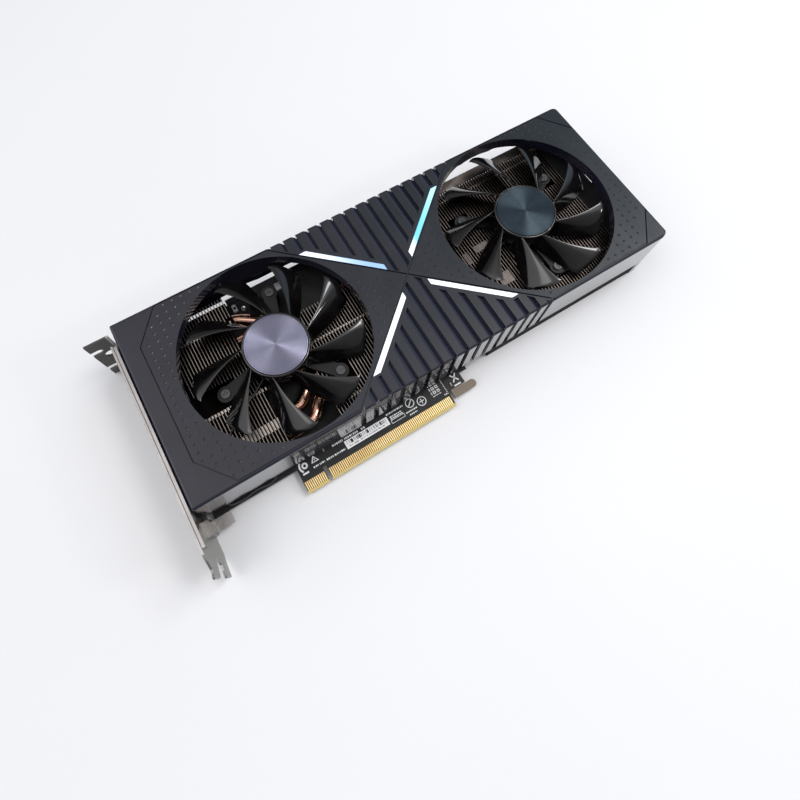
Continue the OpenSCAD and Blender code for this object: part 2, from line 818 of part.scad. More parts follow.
module tail_frame() {
    color("#131416") card_frame() difference() {
        union() {
            block([163, -91.4, 0], [261.5, -86, 10.4]);
            block([163, -0.6, 0], [261.5, 2.6, 8.2]);
            block([163, -89, 0], [166.5, 2.6, 8.2]);
            block([258, -89, 0], [261.5, 2.6, 8.2]);
            block([210, -89, 2], [213.5, 2.6, 6]);
            block([253, -83.6, 22.8], [265.8, -5.6, 24]);
            block([258, -83.6, 8], [259.5, -5.6, 23]);
            for (y = [-86.2, -3])
                block([255, y - 2.6, pcb_z], [267, y + 2.6, pcb_top]);
        }
        for (y = [-86.2, -3])
            translate([264.2, y, 0]) cylinder(h = 10, r = 1.1);
    }
}

shroud();
light_strips();
led_boards();
shroud_screws();
left_rotor();
left_cap();
left_shaft();
left_magnet();
left_fan_frame();
left_stator();
left_motor_board();
left_sleeve();
left_fan_lead();
right_rotor();
right_cap();
right_shaft();
right_magnet();
right_fan_frame();
right_stator();
right_motor_board();
right_sleeve();
right_fan_lead();
fan_screws();
front_fins();
middle_fins();
tail_fins();
heat_pipes();
cold_plate();
base_plate();
side_rail();
thermal_pads();
pcb();
edge_contacts();
barcode_label();
gpu_package();
gpu_die();
memory_chips();
chokes();
capacitors();
mosfets();
power_connector();
fan_headers();
hdmi_socket();
display_socket_a();
display_socket_b();
display_socket_c();
bracket();
bracket_screws();
retention_bracket();
spring_screws();
tail_frame();
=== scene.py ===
"""Looks of a two-fan graphics card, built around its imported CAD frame."""

import math
import random

import bmesh
import bpy
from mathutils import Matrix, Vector


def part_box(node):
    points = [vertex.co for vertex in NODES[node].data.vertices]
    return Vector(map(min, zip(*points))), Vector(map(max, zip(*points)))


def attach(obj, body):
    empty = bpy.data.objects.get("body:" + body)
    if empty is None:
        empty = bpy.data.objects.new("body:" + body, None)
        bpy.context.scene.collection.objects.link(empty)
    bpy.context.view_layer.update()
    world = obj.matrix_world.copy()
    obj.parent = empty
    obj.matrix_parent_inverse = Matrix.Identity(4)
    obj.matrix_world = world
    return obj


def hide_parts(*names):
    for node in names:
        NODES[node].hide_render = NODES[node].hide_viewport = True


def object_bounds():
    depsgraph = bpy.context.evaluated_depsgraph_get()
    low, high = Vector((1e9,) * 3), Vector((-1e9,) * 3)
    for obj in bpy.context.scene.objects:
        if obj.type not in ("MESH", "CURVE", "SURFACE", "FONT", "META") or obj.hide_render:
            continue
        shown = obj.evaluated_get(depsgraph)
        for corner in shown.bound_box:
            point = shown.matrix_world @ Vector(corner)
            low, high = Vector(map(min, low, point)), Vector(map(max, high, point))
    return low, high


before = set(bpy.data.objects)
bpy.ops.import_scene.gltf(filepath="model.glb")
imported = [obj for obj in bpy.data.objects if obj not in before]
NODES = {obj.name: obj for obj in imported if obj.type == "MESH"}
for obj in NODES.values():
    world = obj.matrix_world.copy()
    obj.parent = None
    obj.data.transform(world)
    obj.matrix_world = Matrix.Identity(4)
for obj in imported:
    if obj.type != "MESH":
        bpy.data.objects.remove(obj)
CAD_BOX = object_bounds()
MM = 0.001
random.seed(7)

# Card coordinates, in millimetres: x from the middle of the bracket's sheet, y from the
# flange's inner face, z from the table. P() turns them into the frame's metres.
FLANGE_X = 11.4
BRACKET_Y = 120.0
BRACKET_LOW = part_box("bracket")[0]
ORIGIN = Vector((BRACKET_LOW.x + FLANGE_X * MM, BRACKET_LOW.y + BRACKET_Y * MM, 0))


def P(x, y, z=0.0):
    return Vector((x, y, z)) * MM + ORIGIN


def centre_of(node):
    low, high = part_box(node)
    c = (low + high) / 2 - ORIGIN
    return c.x / MM, c.y / MM


FANS = {"left": centre_of("left_shaft"), "right": centre_of("right_shaft")}
TIP_ANGLE = {"left": 69.7, "right": 60.2}
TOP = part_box("shroud")[1].z / MM
FIN_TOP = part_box("middle_fins")[1].z / MM
PCB_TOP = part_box("gpu_package")[0].z / MM
CENTRE = (140.0, -42.9)
EDGE_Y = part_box("pcb")[0].y / MM
HOOK_X = P(134.2, 0).x / MM
HOOK_Y = P(0, -98.0).y / MM
PANEL_SLOPE = 0.868


# ---------------------------------------------------------------- mesh code

class Shape:
    """Collects vertices and faces in card millimetres, then makes one object."""

    def __init__(self):
        self.verts = []
        self.faces = []

    def add(self, verts, faces):
        base = len(self.verts)
        self.verts += [tuple(v) for v in verts]
        self.faces += [[i + base for i in f] for f in faces]

    def loft(self, rings, wrap=False):
        """Joins rings of points: capped at both ends, or with the last joined to the first."""
        n = len(rings[0])
        verts = [p for ring in rings for p in ring]
        faces = []
        count = len(rings) if wrap else len(rings) - 1
        for a in range(count):
            b = (a + 1) % len(rings)
            for i in range(n):
                j = (i + 1) % n
                faces.append([a * n + i, a * n + j, b * n + j, b * n + i])
        if not wrap:
            faces.append(list(range(n))[::-1])
            faces.append([(len(rings) - 1) * n + i for i in range(n)])
        self.add(verts, faces)

    def prism(self, outline, z0, z1, bevel=0.0):
        rings = [[(x, y, z0) for x, y in outline]]
        if bevel:
            rings.append([(x, y, z1 - bevel) for x, y in outline])
            rings.append([(x, y, z1) for x, y in inset(outline, bevel)])
        else:
            rings.append([(x, y, z1) for x, y in outline])
        self.loft(rings)

    def bar(self, x0, x1, y0, y1, z0, z1, bevel=0.0):
        self.prism([(x0, y0), (x1, y0), (x1, y1), (x0, y1)], z0, z1, bevel)

    def lathe(self, centre, profile, steps=96):
        rings = []
        for k in range(steps):
            a = 2 * math.pi * k / steps
            rings.append([(centre[0] + r * math.cos(a), centre[1] + r * math.sin(a), z)
                          for r, z in profile])
        self.loft(rings, wrap=True)

    def ring(self, centre, r0, r1, z0, z1, steps=32, start=0.0, sweep=360.0):
        full = sweep >= 360
        rings = []
        count = steps if full else steps + 1
        for k in range(count):
            a = math.radians(start + sweep * k / steps)
            rings.append([(centre[0] + r * math.cos(a), centre[1] + r * math.sin(a), z)
                          for r, z in ((r0, z0), (r1, z0), (r1, z1), (r0, z1))])
        self.loft(rings, wrap=full)

    def build(self, name, body, slot, material, smooth):
        """Makes the piece; faces that meet under smooth degrees are shaded as one."""
        mesh = bpy.data.meshes.new(name)
        mesh.from_pydata([tuple(P(*v)) for v in self.verts], [], self.faces)
        mesh.validate()
        obj = bpy.data.objects.new(name, mesh)
        bpy.context.scene.collection.objects.link(obj)
        bm = bmesh.new()
        bm.from_mesh(mesh)
        bmesh.ops.remove_doubles(bm, verts=bm.verts, dist=1e-7)
        bmesh.ops.recalc_face_normals(bm, faces=bm.faces)
        bm.to_mesh(mesh)
        bm.free()
        if smooth:
            mesh.shade_smooth()
            mesh.set_sharp_from_angle(angle=math.radians(smooth))
        mesh.materials.append(material)
        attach(obj, body)
        return obj


def inset(outline, d):
    """A convex outline moved inwards by d."""
    area = sum(a[0] * b[1] - b[0] * a[1] for a, b in zip(outline, outline[1:] + outline[:1]))
    sign = 1 if area > 0 else -1
    n = len(outline)
    out = []
    for i in range(n):
        p, q, r = Vector(outline[i - 1]), Vector(outline[i]), Vector(outline[(i + 1) % n])
        u, v = (q - p).normalized(), (r - q).normalized()
        nu, nv = Vector((-u.y, u.x)) * sign, Vector((-v.y, v.x)) * sign
        m = nu + nv
        m = m / max(m.dot(nu), 1e-6)
        out.append((q.x + m.x * d, q.y + m.y * d))
    return out


# ---------------------------------------------------------------- materials

SOCKETS = {
    "color": "Base Color", "metal": "Metallic", "rough": "Roughness", "ior": "IOR",
    "coat": "Coat Weight", "coat_rough": "Coat Roughness", "aniso": "Anisotropic",
    "aniso_rot": "Anisotropic Rotation", "spec": "Specular IOR Level", "emit": "Emission Color",
    "emit_power": "Emission Strength",
}


def rgb(*c):
    return (c[0], c[1], c[2], 1.0)


class Mat:
    """A small node-graph writer round one Principled shader."""

    def __init__(self, name, **values):
        self.mat = bpy.data.materials.new(name)
        self.mat.use_nodes = True
        self.tree = self.mat.node_tree
        self.bsdf = self.tree.nodes["Principled BSDF"]
        for key, value in values.items():
            self.bsdf.inputs[SOCKETS[key]].default_value = value

    def node(self, kind, inputs=None, **props):
        n = self.tree.nodes.new(kind)
        for k, v in props.items():
            setattr(n, k, v)
        for k, v in (inputs or {}).items():
            self.put(n.inputs[k], v)
        return n

    def put(self, socket, value):
        if hasattr(value, "is_output"):
            self.tree.links.new(value, socket)
        elif isinstance(value, tuple) and len(value) == 3 and socket.type == "RGBA":
            socket.default_value = rgb(*value)
        else:
            socket.default_value = value

    def set(self, key, value):
        self.put(self.bsdf.inputs[SOCKETS.get(key, key)], value)

    def where(self, scale=(1, 1, 1)):
        """Object coordinates in millimetres, scaled."""
        tc = self.node("ShaderNodeTexCoord")
        m = self.node("ShaderNodeMapping", {"Vector": tc.outputs["Object"]})
        m.inputs["Scale"].default_value = [s * 1000 for s in scale]
        return m.outputs["Vector"]

    def noise(self, size, detail=3.0, rough=0.55, vector=None):
        """Noise whose features are about size millimetres across."""
        n = self.node("ShaderNodeTexNoise", {
            "Vector": vector or self.where(), "Scale": 1.0 / size,
            "Detail": detail, "Roughness": rough})
        return n.outputs["Fac"]

    def math(self, op, a, b=0.5):
        n = self.node("ShaderNodeMath", operation=op)
        self.put(n.inputs[0], a)
        self.put(n.inputs[1], b)
        return n.outputs[0]

    def ramp(self, fac, low, high, a=0.0, b=1.0):
        """fac between low and high, mapped onto a..b with a smooth step."""
        n = self.node("ShaderNodeMapRange", {
            "Value": fac, "From Min": low, "From Max": high, "To Min": a, "To Max": b},
            interpolation_type="SMOOTHSTEP")
        return n.outputs["Result"]

    def mix(self, fac, a, b):
        n = self.node("ShaderNodeMix", data_type="RGBA")
        self.put(n.inputs["Factor"], fac)
        self.put(n.inputs[6], a)
        self.put(n.inputs[7], b)
        return n.outputs[2]

    def mixf(self, fac, a, b):
        n = self.node("ShaderNodeMix", data_type="FLOAT")
        self.put(n.inputs["Factor"], fac)
        self.put(n.inputs[2], a)
        self.put(n.inputs[3], b)
        return n.outputs[0]

    def bump(self, height, strength, distance):
        n = self.node("ShaderNodeBump", {
            "Height": height, "Strength": strength, "Distance": distance * MM})
        self.set("Normal", n.outputs["Normal"])

    def axis(self, name):
        s = self.node("ShaderNodeSeparateXYZ", {"Vector": self.where()})
        return s.outputs[name]

    def normal_axis(self, name):
        g = self.node("ShaderNodeNewGeometry")
        s = self.node("ShaderNodeSeparateXYZ", {"Vector": g.outputs["True Normal"]})
        return s.outputs[name]

    def sharp_edge_mask(self, radius, low=0.05, high=0.35):
        """1 on sharp edges, 0 on flat faces, from the rounded and true normals."""
        b = self.node("ShaderNodeBevel", samples=4)
        b.inputs["Radius"].default_value = radius * MM
        g = self.node("ShaderNodeNewGeometry")
        d = self.node("ShaderNodeVectorMath", {0: b.outputs["Normal"], 1: g.outputs["Normal"]},
                      operation="DISTANCE")
        return self.ramp(d.outputs["Value"], low, high)


GLOSS_DRIFT = 0.04


def moulded(name, dark, light, rough, grain=0.35, depth=0.25, patch=18.0, **values):
    """Moulded plastic: fine grain, soft colour drift, handling marks in the gloss."""
    m = Mat(name, **values)
    drift = m.noise(patch, 4.0, 0.6)
    speck = m.noise(grain, 2.0, 0.5)
    smear = m.noise(6.0, 5.0, 0.65, m.where((1, 0.35, 1)))
    tone = m.math("ADD", m.math("MULTIPLY", drift, 0.75), m.math("MULTIPLY", speck, 0.25))
    m.set("color", m.mix(m.ramp(tone, 0.3, 0.7), dark, light))
    m.set("rough", m.mixf(m.ramp(smear, 0.35, 0.7), rough - GLOSS_DRIFT, rough + GLOSS_DRIFT))
    m.bump(speck, depth, 0.03)
    return m


def metal(name, dark, light, rough, brush=(1, 1, 1), fine=0.12, patch=14.0):
    """Bare or plated metal with drawn or brushed lines along the axis that brush shrinks."""
    m = Mat(name, metal=1.0)
    lines = m.noise(fine, 3.0, 0.6, m.where(brush))
    stain = m.noise(patch, 5.0, 0.65)
    tone = m.math("ADD", m.math("MULTIPLY", stain, 0.6), m.math("MULTIPLY", lines, 0.4))
    m.set("color", m.mix(m.ramp(tone, 0.32, 0.68), dark, light))
    m.set("rough", m.mixf(m.ramp(tone, 0.3, 0.7), rough * 0.8, rough * 1.25))
    m.bump(lines, 0.15, 0.02)
    return m


def shroud_material():
    """Satin moulding: grained top, glossier facets, polished walls; painted reflection tints the
    top from purple-blue to teal along its length and the facets purple-blue, and a painted
    highlight makes the edges paler.
    """
    m = Mat("shroud_black", ior=1.52, spec=0.38, coat_rough=0.10)
    low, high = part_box("shroud")
    nz = m.normal_axis("Z")
    flat = m.ramp(nz, 0.975, 0.995)
    wall = m.ramp(m.math("ABSOLUTE", nz), 0.35, 0.15)
    outer = m.ramp(m.axis("Z"), 9.0, 12.0)
    speck = m.noise(0.32, 2.0, 0.6)
    drift = m.noise(26.0, 4.0, 0.6)
    smear = m.noise(9.0, 5.0, 0.7, m.where((1, 0.3, 1)))
    # Painted reflection: the top's colour shifts from purple-blue at the left end to teal at the
    # right end.
    along = m.ramp(m.axis("X"), low.x / MM, high.x / MM)
    dark = m.mix(along, (0.0155, 0.0155, 0.0225), (0.0022, 0.0068, 0.0115))
    light = m.mix(along, (0.021, 0.021, 0.029), (0.0060, 0.0115, 0.0165))
    base = m.mix(m.ramp(drift, 0.3, 0.7), dark, light)
    # Painted reflection: the sloped facets get a purple-blue tone of their own.
    facet = m.mix(m.ramp(drift, 0.35, 0.65), (0.008, 0.009, 0.020), (0.014, 0.012, 0.028))
    colour = m.mix(flat, facet, base)
    # Painted highlight: sharp edges are mixed towards a pale blue-grey, as if catching light.
    edge = m.sharp_edge_mask(0.3)
    colour = m.mix(m.math("MULTIPLY", edge, 0.10), colour, (0.05, 0.055, 0.07))
    m.set("color", colour)
    top = m.mixf(m.ramp(smear, 0.3, 0.75), 0.33, 0.43)
    side = m.mixf(m.ramp(smear, 0.3, 0.75), 0.22, 0.27)
    rough = m.mixf(flat, 0.20, top)
    y = m.axis("Y")
    front = m.ramp(y, low.y / MM + 1.36, low.y / MM + 1.26)
    back = m.ramp(y, high.y / MM - 1.36, high.y / MM - 1.26)
    rim = m.math("MULTIPLY", m.math("MAXIMUM", front, back), m.math("SUBTRACT", 1.0, wall))
    rough = m.mixf(rim, rough, 0.55)
    m.set("rough", m.mixf(wall, rough, side))
    slope = m.math("MULTIPLY", m.math("SUBTRACT", 1.0, m.math("MAXIMUM", flat, rim)), 0.5)
    gloss = m.math("MAXIMUM", m.math("MULTIPLY", wall, outer), slope)
    m.set("coat", m.math("MULTIPLY", gloss, 0.95))
    grain = m.mixf(flat, 0.01, 0.22)
    m.bump(speck, grain, 0.04)
    return m


def guide_material():
    # Painted light: the guides glow faintly in their own colours, though their lights are off.
    m = Mat("light_guide", rough=0.32, ior=1.49, emit_power=0.55)
    x = m.axis("X")
    low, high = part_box("light_strips")
    mid = (low + high) / 2
    x0, x1, y0 = mid.x / MM, high.x / MM, mid.y / MM
    y = m.axis("Y")
    upper = m.ramp(y, y0 - 2, y0 + 2)
    right = m.ramp(x, x0 - 2, x0 + 2)
    cloud = m.noise(5.0, 3.0, 0.6)
    white = m.mix(cloud, (0.80, 0.84, 0.92), (0.92, 0.94, 0.97))
    cyan = m.mix(m.ramp(x, x0 + 9, x0 + 16), (0.86, 0.90, 0.95), (0.16, 0.55, 0.68))
    cyan = m.mix(m.ramp(x, x0 + 20, x1), cyan, (0.42, 0.78, 0.84))
    blue = m.mix(m.ramp(x, x0 - 40, x0 - 12), (0.78, 0.86, 0.97), (0.26, 0.42, 0.72))
    colour = m.mix(upper, white, m.mix(right, blue, cyan))
    m.set("color", colour)
    m.set("emit", colour)
    m.bump(m.noise(0.5, 2.0), 0.2, 0.03)
    return m


def cap_material(name, dark, light, rough):
    """Spun metal foil: circular grooves and a highlight that opens like a fan."""
    m = Mat(name, metal=1.0, rough=rough, aniso=0.93, aniso_rot=0.25)
    gen = m.node("ShaderNodeTexCoord").outputs["Generated"]
    c = m.node("ShaderNodeVectorMath", {0: gen, 1: (0.5, 0.5, 0.5)}, operation="SUBTRACT")
    flat = m.node("ShaderNodeVectorMath", {0: c.outputs["Vector"], 1: (1, 1, 0)},
                  operation="MULTIPLY")
    r = m.node("ShaderNodeVectorMath", {0: flat.outputs["Vector"]}, operation="LENGTH")
    steps = m.math("MULTIPLY", r.outputs["Value"], 260.0)
    groove = m.node("ShaderNodeTexNoise", {"W": steps, "Scale": 1.0, "Detail": 3.0},
                    noise_dimensions="1D").outputs["Fac"]
    drift = m.noise(9.0, 4.0, 0.6)
    tone = m.math("ADD", m.math("MULTIPLY", groove, 0.5), m.math("MULTIPLY", drift, 0.5))
    m.set("color", m.mix(m.ramp(tone, 0.3, 0.7), dark, light))
    m.bump(groove, 0.12, 0.02)
    t = m.node("ShaderNodeTangent", direction_type="RADIAL", axis="Z")
    m.set("Tangent", t.outputs["Tangent"])
    return m


def board_material():
    """Black solder mask with buried tracks and via dots."""
    m = Mat("solder_mask_black", ior=1.42, spec=0.35, coat=0.1, coat_rough=0.2)
    x, y = m.axis("X"), m.axis("Y")
    cells = m.node("ShaderNodeTexVoronoi", {"Vector": m.where((1, 1, 0)), "Scale": 1 / 2.6},
                   feature="F1")
    via = m.ramp(cells.outputs["Distance"], 0.10, 0.06)
    warp = m.noise(7.0, 2.0, 0.5, m.where((1, 1, 0)))
    jog = m.math("MULTIPLY", m.ramp(warp, 0.48, 0.52), 1.6)
    run = m.math("ADD", m.math("MULTIPLY", x, 1.25), jog)
    saw = m.math("ABSOLUTE", m.math("SUBTRACT", m.math("FRACT", run), 0.5))
    track = m.ramp(saw, 0.20, 0.26)
    band = m.ramp(m.noise(11.0, 1.0, 0.5, m.where((0.6, 1, 0))), 0.47, 0.5)
    track = m.math("MULTIPLY", track, band)
    grain = m.noise(0.4, 2.0)
    base = m.mix(grain, (0.008, 0.0085, 0.009), (0.013, 0.0135, 0.014))
    base = m.mix(m.math("MULTIPLY", track, 0.6), base, (0.024, 0.026, 0.024))
    base = m.mix(via, base, (0.05, 0.045, 0.03))
    bare = m.ramp(m.math("ABSOLUTE", m.normal_axis("Z")), 0.985, 0.96)
    weave = m.noise(0.5, 3.0, 0.6, m.where((0.3, 1, 2)))
    glass = m.mix(weave, (0.50, 0.38, 0.13), (0.80, 0.62, 0.24))
    tip = m.math("MULTIPLY", m.ramp(y, EDGE_Y + 2.0, EDGE_Y + 1.6), bare)
    base = m.mix(m.math("MULTIPLY", bare, 0.35), base, (0.10, 0.085, 0.05))
    base = m.mix(tip, base, glass)
    hook = m.math("MULTIPLY", m.ramp(x, HOOK_X, HOOK_X + 0.4),
                  m.ramp(y, HOOK_Y + 0.2, HOOK_Y - 0.2))
    base = m.mix(hook, base, m.mix(grain, (0.17, 0.135, 0.10), (0.25, 0.20, 0.15)))
    m.set("color", base)
    m.set("rough", m.mixf(m.noise(5.0, 4.0), 0.40, 0.55))
    height = m.math("ADD", track, m.math("MULTIPLY", grain, 0.3))
    m.bump(height, 0.25, 0.03)
    return m


def label_material():
    m = Mat("printed_label", rough=0.45, ior=1.45)
    low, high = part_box("barcode_label")
    x, y = m.axis("X"), m.axis("Y")
    bars = m.node("ShaderNodeTexWhiteNoise", {"W": m.math("FLOOR", m.math("MULTIPLY", x, 4.6))},
                  noise_dimensions="1D").outputs["Value"]
    mid, half = (low.y + high.y) / 2 / MM, (high.y - low.y) / 2 / MM
    off_bars = m.math("ABSOLUTE", m.math("SUBTRACT", y, mid + half * 0.34))
    centre = m.ramp(off_bars, half * 0.46, half * 0.42)
    x0, x1 = low.x / MM, high.x / MM
    ends = m.math("MULTIPLY", m.ramp(x, x0 + 1.0, x0 + 1.2), m.ramp(x, x1 - 1.0, x1 - 1.2))
    ink = m.math("MULTIPLY", m.math("MULTIPLY", m.ramp(bars, 0.52, 0.56), centre), ends)
    off_line = m.math("ABSOLUTE", m.math("SUBTRACT", y, mid - half * 0.52))
    line = m.ramp(off_line, half * 0.17, half * 0.13)
    print_noise = m.noise(0.45, 1.0, 0.5, m.where((1, 0.2, 1)))
    fine = m.math("MULTIPLY", m.math("MULTIPLY", m.ramp(print_noise, 0.47, 0.5), line), ends)
    ink = m.math("MAXIMUM", ink, m.math("MULTIPLY", fine, 0.7))
    fibre = m.noise(0.6, 4.0, 0.7)
    paper = m.mix(fibre, (0.90, 0.905, 0.91), (0.95, 0.95, 0.95))
    m.set("color", m.mix(ink, paper, (0.03, 0.03, 0.035)))
    m.bump(fibre, 0.15, 0.02)
    return m


def fin_material(name, dark, light, rough, tip):
    """Stacked fins: painted shade darkens them towards their feet between the plates, dull plating
    above, bright cut top edges.
    """
    m = Mat(name, metal=1.0)
    z = m.axis("Z")
    streak = m.noise(0.9, 4.0, 0.65, m.where((1, 0.25, 1)))
    patch = m.noise(16.0, 3.0, 0.6)
    tone = m.math("ADD", m.math("MULTIPLY", streak, 0.5), m.math("MULTIPLY", patch, 0.5))
    face = m.mix(m.ramp(tone, 0.3, 0.7), dark, light)
    # Painted shade: the faces fade to near black towards the bottom, where the gaps between fins
    # are in shade.
    face = m.mix(m.ramp(z, FIN_TOP - 6.5, FIN_TOP - 0.6), tuple(c * 0.12 for c in dark), face)
    flat = m.ramp(m.normal_axis("Z"), 0.8, 0.95)
    crest = m.math("MULTIPLY", flat, m.ramp(z, FIN_TOP - 1.2, FIN_TOP - 0.8))
    top = m.math("MULTIPLY", crest, m.ramp(tone, 0.2, 0.65, 0.35, 1.0))
    m.set("color", m.mix(top, face, tip))
    m.set("rough", m.mixf(tone, rough * 0.75, rough * 1.3))
    m.bump(streak, 0.2, 0.03)
    return m


def blade_material():
    m = Mat("smoky_plastic", ior=1.47, coat=0.45, coat_rough=0.04)
    flow = m.noise(7.0, 4.0, 0.6, m.where((1, 0.5, 1)))
    speck = m.noise(0.5, 2.0)
    drift = m.ramp(flow, 0.3, 0.7)
    m.set("color", m.mix(drift, (0.0022, 0.0020, 0.0022), (0.0060, 0.0050, 0.0048)))
    m.set("rough", m.mixf(drift, 0.09, 0.16))
    m.bump(speck, 0.04, 0.02)
    return m


def bracket_material():
    """Plated sheet steel, drawn along its length; the flange and the inner face are coloured
    darker.
    """
    m = metal("bracket_steel", (0.30, 0.285, 0.275), (0.47, 0.445, 0.43), 0.32, (1, 0.06, 1),
              fine=0.16)
    source = m.bsdf.inputs["Base Color"].links[0].from_socket
    x = m.axis("X")
    edge = P(-0.55, 0).x / MM
    inner = m.ramp(m.normal_axis("X"), 0.6, 0.9)
    tone = m.mix(m.math("MULTIPLY", inner, 0.75), source, (0.25, 0.25, 0.225))
    m.set("color", m.mix(m.ramp(x, edge, edge - 0.3), tone, (0.085, 0.08, 0.077)))
    return m


def winding_material():
    m = Mat("copper_winding", metal=1.0, rough=0.32)
    wave = m.node("ShaderNodeTexWave", {
        "Vector": m.where((0, 0, 1)), "Scale": 1.4, "Distortion": 0.6},
        wave_type="BANDS", bands_direction="Z").outputs["Fac"]
    m.set("color", m.mix(wave, (0.42, 0.16, 0.06), (0.85, 0.42, 0.22)))
    m.bump(wave, 0.6, 0.08)
    return m


def table_material():
    m = Mat("pale_table", rough=0.55, ior=1.45)
    fine = m.noise(1.2, 4.0, 0.6)
    broad = m.noise(220.0, 3.0, 0.5)
    tone = m.math("ADD", m.math("MULTIPLY", fine, 0.15), m.math("MULTIPLY", broad, 0.85))
    m.set("color", m.mix(tone, (0.78, 0.785, 0.80), (0.84, 0.84, 0.85)))
    m.bump(fine, 0.03, 0.05)
    return m


MATS = {
    "shroud": shroud_material(),
    "stud": moulded("stud_black", (0.013, 0.014, 0.018), (0.019, 0.020, 0.025), 0.26, ior=1.6),
    "guide": guide_material(),
    "board_small": moulded("board_white", (0.55, 0.56, 0.56), (0.66, 0.67, 0.66), 0.5),
    "black_screw": metal("blackened_screw", (0.025, 0.025, 0.028), (0.07, 0.07, 0.075), 0.35,
                         fine=0.2),
    "zinc_screw": metal("zinc_screw", (0.42, 0.42, 0.44), (0.68, 0.68, 0.70), 0.28, fine=0.2),
    "dark_screw": metal("dark_screw", (0.05, 0.05, 0.053), (0.12, 0.12, 0.125), 0.32, fine=0.2),
    "blade": blade_material(),
    # Painted reflection: the two identical caps are coloured apart, lilac on the left and dark
    # slate on the right.
    "cap_left": cap_material("spun_cap_painted_lilac_reflection", (0.20, 0.20, 0.28), (0.28, 0.275, 0.36), 0.33),
    "cap_right": cap_material("spun_cap_painted_slate_reflection", (0.03, 0.043, 0.054), (0.05, 0.066, 0.08), 0.33),
    "shaft": metal("ground_steel", (0.5, 0.5, 0.52), (0.72, 0.72, 0.74), 0.18, (1, 1, 0.1)),
    "ferrite": moulded("bonded_ferrite", (0.02, 0.02, 0.02), (0.045, 0.043, 0.04), 0.6, grain=0.6,
                       depth=0.5),
    "fan_plastic": moulded("frame_black", (0.003, 0.003, 0.0033), (0.006, 0.006, 0.0063), 0.45,
                           spec=0.3),
    "winding": winding_material(),
    "green_board": moulded("green_mask", (0.01, 0.06, 0.03), (0.02, 0.10, 0.05), 0.35, coat=0.4),
    "bronze": metal("sintered_bronze", (0.30, 0.19, 0.09), (0.55, 0.36, 0.18), 0.4, fine=0.3),
    "lead": moulded("lead_jacket_black", (0.012, 0.012, 0.013), (0.03, 0.03, 0.032), 0.42,
                    coat=0.15),
    "fins": fin_material("fins_nickel", (0.055, 0.045, 0.038), (0.13, 0.11, 0.097), 0.36,
                         (0.33, 0.285, 0.25)),
    "fins_dark": fin_material("fins_dark", (0.045, 0.036, 0.031), (0.10, 0.083, 0.074), 0.40,
                              (0.22, 0.18, 0.16)),
    "tabs": metal("fin_tabs", (0.30, 0.26, 0.22), (0.58, 0.52, 0.47), 0.34, patch=5.0),
    "pipe": metal("pipe_copper", (0.40, 0.19, 0.13), (0.72, 0.44, 0.34), 0.20, (1, 0.15, 1),
                  fine=0.4, patch=5.0),
    "plate_copper": metal("plate_copper", (0.60, 0.25, 0.13), (0.90, 0.47, 0.29), 0.30, (0.1, 1, 1),
                          fine=0.25),
    "casting": moulded("cast_black", (0.004, 0.004, 0.0045), (0.011, 0.011, 0.012), 0.55, grain=0.7,
                       depth=0.6, spec=0.3),
    "rail": metal("rail_steel", (0.09, 0.075, 0.068), (0.19, 0.165, 0.15), 0.36, (0.08, 1, 1)),
    "pad": moulded("pad_grey", (0.20, 0.22, 0.24), (0.30, 0.32, 0.34), 0.7, grain=0.5, depth=0.5),
    "board": board_material(),
    "gold": metal("hard_gold", (0.72, 0.50, 0.20), (0.95, 0.74, 0.38), 0.44, (1, 0.12, 1),
                  fine=0.2),
    "label": label_material(),
    "substrate": moulded("package_green", (0.02, 0.05, 0.035), (0.03, 0.075, 0.05), 0.35, coat=0.3),
    "silicon": metal("silicon_mirror", (0.25, 0.26, 0.30), (0.42, 0.43, 0.48), 0.12, patch=20.0),
    "epoxy": moulded("chip_epoxy", (0.012, 0.012, 0.013), (0.028, 0.028, 0.029), 0.52, grain=0.25,
                     depth=0.5),
    "choke": moulded("choke_grey", (0.06, 0.06, 0.062), (0.12, 0.12, 0.122), 0.5, grain=0.5,
                     depth=0.6),
    "can": metal("capacitor_can", (0.55, 0.55, 0.57), (0.8, 0.8, 0.82), 0.25),
    "socket_plastic": moulded("connector_black", (0.010, 0.010, 0.011), (0.022, 0.022, 0.023), 0.38,
                              grain=0.5),
    "nylon": moulded("header_nylon", (0.55, 0.53, 0.46), (0.72, 0.70, 0.63), 0.42),
    "socket_steel": metal("socket_steel", (0.40, 0.40, 0.41), (0.66, 0.66, 0.67), 0.28,
                          (1, 0.15, 1)),
    "bracket": bracket_material(),
    "spring": metal("spring_steel", (0.30, 0.30, 0.31), (0.52, 0.52, 0.53), 0.30, (0.3, 0.3, 1)),
    "tail": moulded("tail_black", (0.004, 0.004, 0.0045), (0.009, 0.009, 0.0095), 0.80, grain=0.5,
                    depth=0.4, spec=0.2),
    "ink": moulded("white_ink", (0.74, 0.75, 0.76), (0.86, 0.87, 0.88), 0.6, grain=0.2, patch=3.0),
    "solder": metal("solder_tin", (0.5, 0.5, 0.51), (0.78, 0.78, 0.79), 0.3, patch=2.0, fine=0.3),
    "mlcc": moulded("mlcc_tan", (0.25, 0.17, 0.10), (0.36, 0.26, 0.17), 0.4, grain=0.2, patch=2.0),
}

